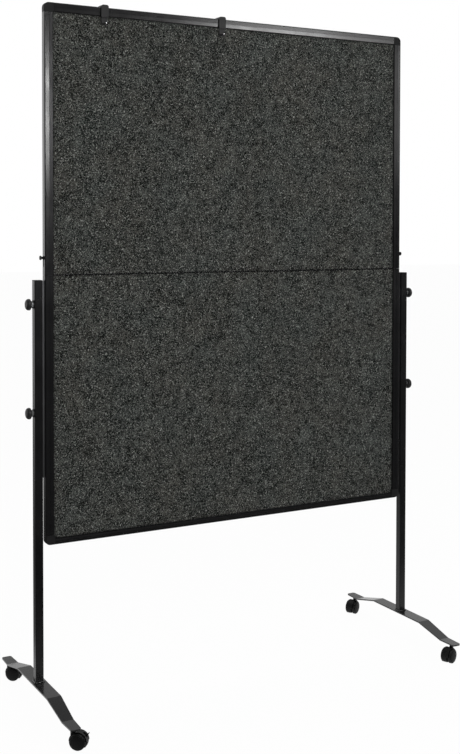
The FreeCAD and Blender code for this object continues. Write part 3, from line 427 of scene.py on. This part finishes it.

# %% [markdown]
# The imported record names a material slot for each node, so each solid takes its finish by slot. Rails
# that run along X get the along version, so that the die lines follow the metal. The guide strips on
# the board's sides are left as they come from the mill, because the clamps rub on them. The washers and
# the caster sockets are blackened steel, so they take black finishes by name. The paper hooks have a
# little more gloss than the corners, and a slightly lighter black that is painted light: it stands in
# for the light their tongues catch from above. The strips along the seam are black plastic painted
# darker still, a painted shade for the dark line where the two panels meet. The plain felt solids get
# a stand-in finish here, because felt sheets take their place further down.

# %% Dress the solid parts
FINISHES = {
    "frame_black": frame_upright,
    "steel_black": post_coat,
    "foot_grey": foot_coat,
    "plastic_black": black_plastic,
    "knob_grey": knob_plastic,
    "caster_black": caster_plastic,
    "zinc_steel": zinc,
    "core_board": core_fibre,
    "felt_grey": core_fibre,
}
BY_NAME = {
    "top_rail": frame_along,
    "bottom_rail": frame_along,
    "guide_rails": guide_metal,
    "clamp_washers": black_plastic,
    "caster_stems": caster_plastic,
    "lower_seam_strip": seam_painted_shade,
    "upper_seam_strip": seam_painted_shade,
    "left_paper_hook": hook_plastic_painted_light,
    "right_paper_hook": hook_plastic_painted_light,
}
for part in frame["record"]["subparts"]:
    solid = frame["nodes"][part["node"]]
    finish = BY_NAME.get(part["node"], FINISHES[part["material_slot"]])
    solid.data.materials.clear()
    solid.data.materials.append(finish)

# %% [markdown]
# Needle felt is matted from short fibres of several greys, so close up it is a tangle of pale flecks
# on a dark ground, with no weave. A picture of felt would repeat on panels as large as these, so noises
# make it: a twisted one for the grey tangle, a broad one that gathers it in clouds, a sparse one for the
# pale fibres that lie on top, and a fine one for single fibres, which also lifts the surface. Two more
# let the grey drift a little between green and brown.

# %% Felt pattern
BROAD_WAVES, BROAD_SHARE, FLECK_RANGE = 46.0, 0.42, (0.69, 0.81)
PALE_WAVES, PALE_RANGE = 310.0, (0.60, 0.68)
HUE_WAVES, HUE_SHARE, DRIFT_WAVES, HUE_RANGE = 150.0, 0.6, 7.0, (0.65, 0.95)
FIBRE_WAVES, FIBRE_LIFT = 1500.0, 0.5

felt_flecks, come, go = new_group("felt_flecks", [("Waves", "value", 330.0)],
                                  ["Fleck", "Pale", "Hue", "Height"])
place = object_place(felt_flecks)
tangle = cloud(felt_flecks, place, come["Waves"], detail=1.0, distortion=0.9)
broad = cloud(felt_flecks, place, BROAD_WAVES)
gathered = combine(felt_flecks, "MULTIPLY_ADD", broad, BROAD_SHARE, tangle)
fleck = spread(felt_flecks, gathered, *FLECK_RANGE)
link(felt_flecks, fleck, go["Fleck"])
scattered = cloud(felt_flecks, place, PALE_WAVES, detail=1.0, distortion=1.4)
link(felt_flecks, spread(felt_flecks, scattered, *PALE_RANGE), go["Pale"])
hue = cloud(felt_flecks, place, HUE_WAVES, detail=1.0)
drift = cloud(felt_flecks, place, DRIFT_WAVES, detail=1.0)
drifted = combine(felt_flecks, "MULTIPLY_ADD", hue, HUE_SHARE, drift)
link(felt_flecks, spread(felt_flecks, drifted, *HUE_RANGE), go["Hue"])
fibres = cloud(felt_flecks, place, FIBRE_WAVES, detail=4.0, roughness=0.7, distortion=2.0)
link(felt_flecks, combine(felt_flecks, "MULTIPLY_ADD", fibres, FIBRE_LIFT, fleck), go["Height"])
print("felt pattern nodes", len(felt_flecks.nodes))

# %% [markdown]
# Along the frame the felt dives under the lips, so its last few millimetres lie in their shade. The
# gap is far too narrow for the lamps alone to show it, so a mask of the distance to the frame's inner
# edges, which the rails' boxes give, blends the felt to black there.

# %% Felt finish
SHADE_DEPTH = 6.0 * MM
FELT_GROUND, PALE_FIBRE = (0.0030, 0.0032, 0.0029), (0.290, 0.298, 0.280)
GREEN_GREY, BROWN_GREY = (0.0600, 0.0665, 0.0615), (0.0660, 0.0650, 0.0565)

felt_half = -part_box("upper_left_rail")[1].x
felt_top, felt_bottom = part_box("top_rail")[0].z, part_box("bottom_rail")[1].z
frame_shade, _, go = new_group("frame_shade", [], ["Shade"])
to_right, _, to_top = split_axes(frame_shade, object_place(frame_shade))
across = combine(frame_shade, "ABSOLUTE", to_right)
shade = spread(frame_shade, across, felt_half - SHADE_DEPTH, felt_half)
for edge, inward in ((felt_top, -1), (felt_bottom, 1)):
    near_rail = spread(frame_shade, to_top, edge + inward * SHADE_DEPTH, edge)
    shade = combine(frame_shade, "MAXIMUM", shade, near_rail)
link(frame_shade, shade, go["Shade"])

felt, tree, shader = new_finish("needle_felt")
texture = place_group(tree, felt_flecks)
fibre_grey = blend_colour(tree, texture.outputs["Hue"], GREEN_GREY, BROWN_GREY)
ground = blend_colour(tree, texture.outputs["Fleck"], FELT_GROUND, fibre_grey)
mottled = blend_colour(tree, texture.outputs["Pale"], ground, PALE_FIBRE)
shaded = blend_colour(tree, place_group(tree, frame_shade).outputs["Shade"], mottled, BLACK)
link(tree, shaded, shader.inputs["Base Color"])
raise_surface(tree, texture.outputs["Height"], 0.6, 0.4, shader)
set_values(shader, Roughness=0.95, Specular_IOR_Level=0.08, Sheen_Weight=0.025, Sheen_Roughness=0.6)
print("felt nodes", len(tree.nodes), "shade from", round(felt_half - SHADE_DEPTH, 4))

# %% [markdown]
# Each panel carries one felt in front and one behind, cut to the panel, glued down and trapped by the
# frame's channels. Glued felt can't drape, so there is nothing to simulate, but it is never quite flat:
# a grid facing the viewer is lifted and sunk a little by noise. Its rim is pulled back to the core as an
# edge, and the glued side is closed.

# %% Felt sheets
FELT_STEP = 5.0 * MM
FELT_UNEVEN = 0.12 * MM
FELT_WAVES = (18.0, 70.0)
FACE_SHIFT = 900


def new_piece(name, bm, body, material, smooth=True):
    """Turn a finished bmesh into a piece that rides on a body."""
    bmesh.ops.recalc_face_normals(bm, faces=bm.faces)
    mesh = bpy.data.meshes.new(name)
    bm.to_mesh(mesh)
    bm.free()
    mesh.polygons.foreach_set("use_smooth", [smooth] * len(mesh.polygons))
    piece = link_object(name, mesh)
    mesh.materials.append(material)
    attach(piece, body)
    return piece


def felt_sheet(node, body, facing):
    low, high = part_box(node)
    width, height, thick = high.x - low.x, high.z - low.z, high.y - low.y
    face, back = (low.y, high.y) if facing < 0 else (high.y, low.y)
    bm = bmesh.new()
    bmesh.ops.create_grid(bm, x_segments=round(width / FELT_STEP),
                          y_segments=round(height / FELT_STEP), size=0.5)
    bmesh.ops.scale(bm, vec=(width, height, 1), verts=bm.verts)
    bmesh.ops.rotate(bm, cent=(0, 0, 0), matrix=Matrix.Rotation(math.pi / 2, 3, "X"), verts=bm.verts)
    bmesh.ops.translate(bm, vec=((low.x + high.x) / 2, face, (low.z + high.z) / 2), verts=bm.verts)
    for vert in bm.verts:
        shifted = Vector((0, face * FACE_SHIFT, 0))
        swell = sum(noise.noise(vert.co * waves + shifted) for waves in FELT_WAVES)
        vert.co.y += facing * FELT_UNEVEN * (swell - 1)
    rim = [edge for edge in bm.edges if edge.is_boundary]
    drawn = bmesh.ops.extrude_edge_only(bm, edges=rim)["geom"]
    for vert in drawn:
        if isinstance(vert, bmesh.types.BMVert):
            vert.co.y = back
    bmesh.ops.edgeloop_fill(bm, edges=[edge for edge in bm.edges if edge.is_boundary])
    piece = new_piece(node + "_sheet", bm, body, felt)
    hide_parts(node)
    print(piece.name, "flat", round(width, 4), round(height, 4), "thick", round(thick, 4))


for half in ("lower", "upper"):
    for side, facing in (("front", -1), ("back", 1)):
        felt_sheet("%s_%s_felt" % (half, side), half + "_board", facing)

# %% [markdown]
# Dished covers close the wheels, and a small steel ball ends each peg. A plain cylinder and a sphere
# from the menu would come near, but a profile of a few points, spun about the axis that the joint or
# the mount in the record gives, has the real section and its place at once. The ring of faces is
# merged where it meets itself.

# %% Turned pieces
WHEEL_FACE = 16.5 * MM
COVER_PROFILE = ((0.0, 3.0), (6.0, 2.8), (12.0, 2.2), (16.0, 1.4), (17.4, 0.9), (17.6, 0.5),
                 (18.4, 0.5), (18.8, 0.0))
COVER_STEPS = 40
BALL_RADIUS = 3.5 * MM
BALL_STEPS, BALL_ROUND = 12, 24
MERGE_WITHIN = 0.005 * MM


def turned(profile, centre, axis, steps):
    """Spin a profile of (radius, along) points about an axis through a centre."""
    bm = bmesh.new()
    points = [bm.verts.new((radius, 0, along)) for radius, along in profile]
    chain = [bm.edges.new(pair) for pair in zip(points, points[1:])]
    bmesh.ops.spin(bm, geom=points + chain, cent=(0, 0, 0), axis=(0, 0, 1), angle=math.tau, steps=steps,
                   use_merge=True)
    bmesh.ops.remove_doubles(bm, verts=bm.verts, dist=MERGE_WITHIN)
    rims = [edge for edge in bm.edges if edge.is_boundary]
    if rims:
        bmesh.ops.holes_fill(bm, edges=rims)
    turn = Vector((0, 0, 1)).rotation_difference(Vector(axis)).to_matrix().to_4x4()
    bmesh.ops.transform(bm, matrix=Matrix.Translation(centre) @ turn, verts=bm.verts)
    return bm


cover_profile = [(radius * MM, along * MM) for radius, along in COVER_PROFILE]
wheel_spins = [joint for joint in frame["joints"] if joint["name"].endswith("_wheel_spin")]
for joint in wheel_spins:
    outward = Vector(joint["axis"]) * (1 if "second" in joint["name"] else -1)
    bm = turned(cover_profile, Vector(joint["pos_m"]) + outward * WHEEL_FACE, outward, COVER_STEPS)
    new_piece(joint["child"] + "_cover", bm, joint["child"], cover_plastic)
print("wheel covers", len(wheel_spins))

turns = [math.pi * step / BALL_STEPS for step in range(BALL_STEPS + 1)]
ball_profile = [(BALL_RADIUS * math.sin(turn), -BALL_RADIUS * math.cos(turn)) for turn in turns]
for mount in frame["record"]["mounts"]:
    if mount["name"].endswith("_peg"):
        side = mount["name"].split("_")[0]
        axis = Vector(mount["axis"])
        tip = Vector(mount["pos_m"]) + axis * mount["dims"]["length_mm"] / 2 * MM
        bm = turned(ball_profile, tip, axis, BALL_ROUND)
        new_piece(side + "_peg_ball", bm, side + "_hook", ball_metal)
        print(side, "peg ball at", [round(x, 4) for x in tip])

# %% [markdown]
# A black rubber seal closes the joint between each post and its foot plate. Its rounded corners are what
# catches the two small highlights at the front of each post. A bevelled box would have to be hollowed
# for the post, so rings of a rounded square, each a little wider and lower than the last, are bridged
# into a closed bead.

# %% Post seals
SEAL_RADIUS = 3.6 * MM
SEAL_STEPS = 6
POST_ROUND = 2.5 * MM
ROUND_STEPS = 5


def rounded_square(centre, half, radius, level):
    """Corners of a square with rounded corners, anticlockwise, at a level."""
    points = []
    inner = half - radius
    for quarter in range(4):
        start = quarter * math.pi / 2
        sign_x = 1 if quarter in (0, 3) else -1
        sign_y = 1 if quarter in (0, 1) else -1
        middle = Vector((centre.x + sign_x * inner, centre.y + sign_y * inner, level))
        for step in range(ROUND_STEPS + 1):
            angle = start + step / ROUND_STEPS * math.pi / 2
            points.append(middle + Vector((math.cos(angle), math.sin(angle), 0)) * radius)
    return points


def ring_of(bm, points):
    verts = [bm.verts.new(point) for point in points]
    return [bm.edges.new((vert, verts[(index + 1) % len(verts)])) for index, vert in enumerate(verts)]


section = [(SEAL_RADIUS * math.sin(turn), SEAL_RADIUS * math.cos(turn))
           for turn in (math.pi / 2 * step / SEAL_STEPS for step in range(SEAL_STEPS + 1))]
section.append((0.0, 0.0))
for side in ("left", "right"):
    low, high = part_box(side + "_post")
    centre = (low + high) / 2
    half = (high.x - low.x) / 2
    bm = bmesh.new()
    rings = [ring_of(bm, rounded_square(centre, half + out, POST_ROUND + out, low.z + rise))
             for out, rise in section]
    for ring, following in zip(rings, rings[1:] + rings[:1]):
        bmesh.ops.bridge_loops(bm, edges=ring + following)
    new_piece(side + "_post_seal", bm, "stand", seal_rubber)
print("seal width", round(2 * (half + SEAL_RADIUS), 4))

# %% [markdown]
# Each hinge leaf is held by two countersunk screws. A disc with a painted socket would do from afar,
# but the socket is real here: a round ring is bridged to a hexagon, the hexagon is pushed in and
# closed, and the rim is pulled back to the leaf.

# %% Hinge screws
LEAF_WIDTH, LEAF_FACE = 16 * MM, 13 * MM
SCREW_RADIUS, SCREW_SOCKET, SCREW_STAND, SOCKET_DEPTH = 3.0 * MM, 1.4 * MM, 0.5 * MM, 0.4 * MM
SCREW_TOP = 0.9 * SCREW_RADIUS
SCREW_STEPS, SOCKET_SIDES = 24, 6
SCREW_LEVELS = (14 * MM, 27 * MM)


def screw_head(bm, centre):
    """A flat screw head that faces +Y, with a six-sided socket."""
    def circle(radius, segments, depth):
        turns = [math.tau * step / segments for step in range(segments)]
        offsets = [Vector((radius * math.cos(turn), depth, radius * math.sin(turn))) for turn in turns]
        return ring_of(bm, [centre + offset for offset in offsets])
    foot = circle(SCREW_RADIUS, SCREW_STEPS, 0)
    rim = circle(SCREW_TOP, SCREW_STEPS, SCREW_STAND)
    mouth = circle(SCREW_SOCKET, SOCKET_SIDES, SCREW_STAND)
    bottom = circle(SCREW_SOCKET, SOCKET_SIDES, SCREW_STAND - SOCKET_DEPTH)
    for first, second in ((foot, rim), (rim, mouth), (mouth, bottom)):
        bmesh.ops.bridge_loops(bm, edges=first + second)
    bmesh.ops.edgeloop_fill(bm, edges=bottom)
    bmesh.ops.edgeloop_fill(bm, edges=foot)


low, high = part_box("upper_hinge_leaves")
fold = next(joint for joint in frame["joints"] if joint["name"] == "board_fold")["pos_m"][2]
for half, direction in (("upper", 1), ("lower", -1)):
    bm = bmesh.new()
    for x in (low.x + LEAF_WIDTH / 2, high.x - LEAF_WIDTH / 2):
        for level in SCREW_LEVELS:
            screw_head(bm, Vector((x, LEAF_FACE, fold + direction * level)))
    new_piece(half + "_hinge_screws", bm, half + "_board", post_coat, smooth=False)
print("screws per half", 2 * len(SCREW_LEVELS))
